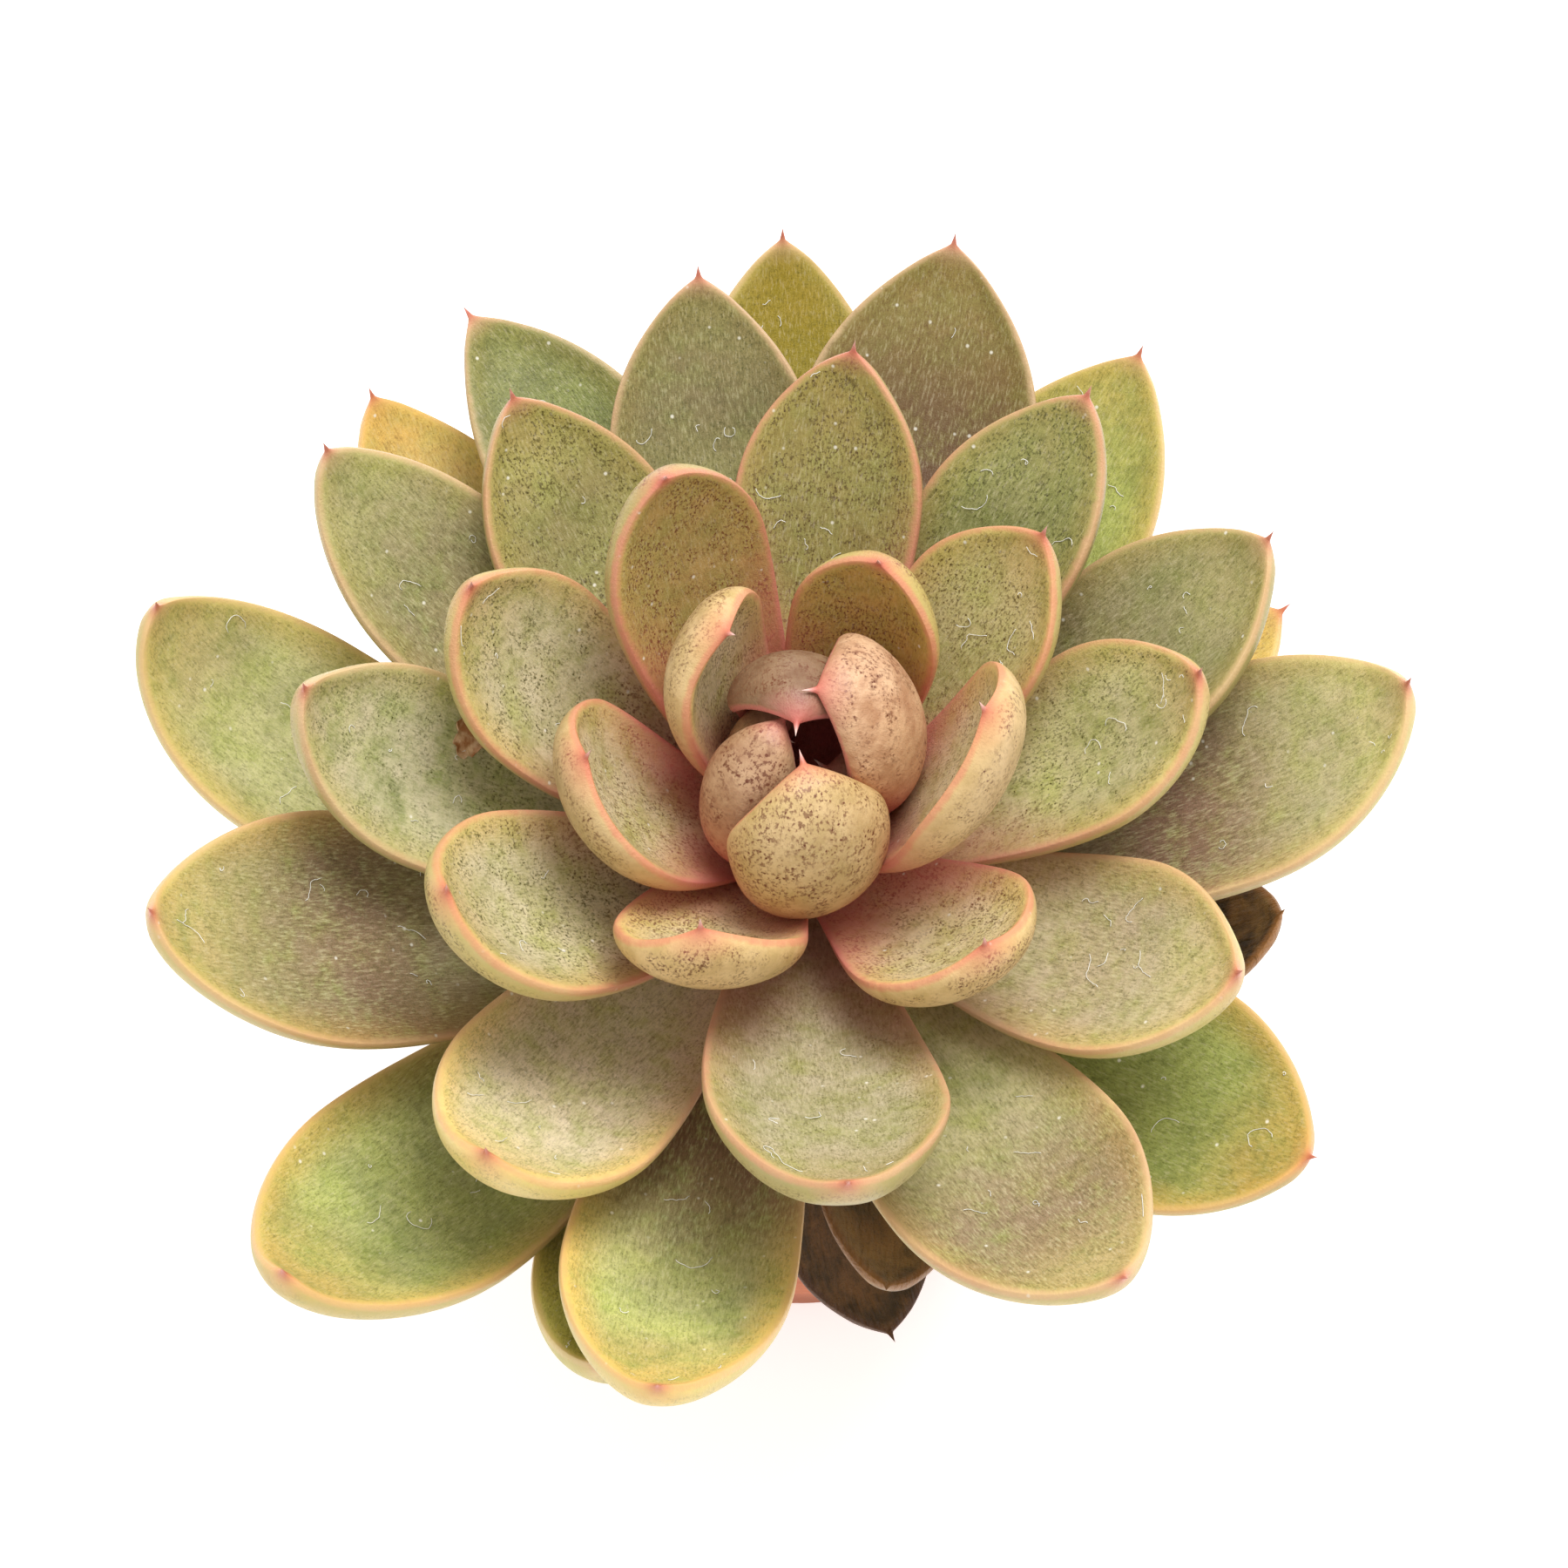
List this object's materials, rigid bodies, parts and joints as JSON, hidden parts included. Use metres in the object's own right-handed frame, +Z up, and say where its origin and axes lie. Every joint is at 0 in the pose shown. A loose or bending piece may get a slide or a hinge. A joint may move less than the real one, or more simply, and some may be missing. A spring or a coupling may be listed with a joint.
{
  "type": "potted succulent",
  "caption": "Echeveria rosette of thick spoon-shaped leaves with red-tipped points, on a short stem in a plain round clay pot.",
  "frame": {"origin": "middle of the pot's flat base, on the surface that it stands on", "axes": "+Z up along the stem; -Y towards the side the rosette is mostly looked at from, +X to that viewer's right"},
  "size_m": [0.0996, 0.1066, 0.0955],
  "materials": {
    "clay": "matte unglazed fired clay",
    "soil": "loose gritty potting mix",
    "stem": "dry woody stem with leaf scars",
    "leaf": "satin waxy skin, olive green with pink edges and brown speckles",
    "bud_leaf": "satin waxy skin, tan pink with brown speckles",
    "dried_leaf": "dry brown wrinkled skin"
  },
  "bodies": {
    "root": {"pot": "clay", "soil": "soil", "stem": "stem", "bud_leaf_1": "bud_leaf", "bud_leaf_2": "bud_leaf", "bud_leaf_3": "bud_leaf", "bud_leaf_4": "bud_leaf", "bud_leaf_5": "bud_leaf", "bud_leaf_6": "bud_leaf", "leaf_01": "leaf", "leaf_02": "leaf", "leaf_03": "leaf", "leaf_04": "leaf", "leaf_05": "leaf", "leaf_06": "leaf", "leaf_07": "leaf", "leaf_08": "leaf", "leaf_09": "leaf", "leaf_10": "leaf", "leaf_11": "leaf", "leaf_12": "leaf", "leaf_13": "leaf", "leaf_14": "leaf", "leaf_15": "leaf", "leaf_16": "leaf", "leaf_17": "leaf", "leaf_18": "leaf", "leaf_19": "leaf", "leaf_20": "leaf", "leaf_21": "leaf", "leaf_22": "leaf", "leaf_23": "leaf", "leaf_24": "leaf", "leaf_25": "leaf", "leaf_26": "leaf", "leaf_27": "leaf", "leaf_28": "leaf", "leaf_29": "leaf", "leaf_30": "leaf", "leaf_31": "leaf", "leaf_32": "leaf", "leaf_33": "leaf", "leaf_34": "leaf", "leaf_35": "leaf", "dried_leaf_1": "dried_leaf", "dried_leaf_2": "dried_leaf", "dried_leaf_3": "dried_leaf"}
  },
  "joints": []
}
